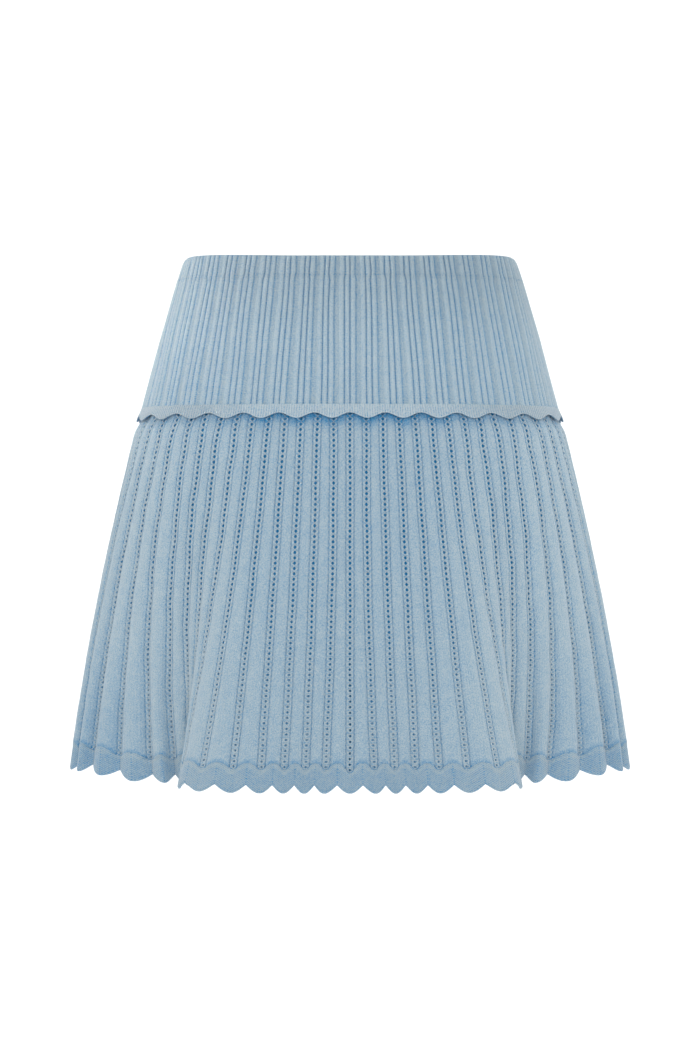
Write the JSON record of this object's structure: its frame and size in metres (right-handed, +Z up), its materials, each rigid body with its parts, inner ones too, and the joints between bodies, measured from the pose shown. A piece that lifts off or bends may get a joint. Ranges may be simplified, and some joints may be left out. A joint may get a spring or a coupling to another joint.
{
  "type": "knit mini skirt",
  "caption": "Pull-on knit mini skirt in its worn form, with a ribbed yoke, scalloped trim and a flared openwork skirt with a scalloped hem.",
  "frame": {"origin": "centre of the waist opening, level with the waistband's top edge in front", "axes": "+X to the wearer's left, seen on the right in the picture; the front faces -Y; +Z up, out of the waist opening"},
  "size_m": [0.4124, 0.3353, 0.3745],
  "materials": {
    "rib_knit": "light blue ribbed knit, matt",
    "openwork_knit": "light blue plain knit with openwork columns, matt",
    "trim_knit": "light blue fine edging knit, matt"
  },
  "bodies": {
    "root": {"waistband": "rib_knit", "yoke_front": "rib_knit", "yoke_back": "rib_knit", "yoke_trim_front": "trim_knit", "yoke_trim_back": "trim_knit", "skirt_front": "openwork_knit", "skirt_back": "openwork_knit", "hem_border_front": "trim_knit", "hem_border_back": "trim_knit"}
  },
  "joints": []
}
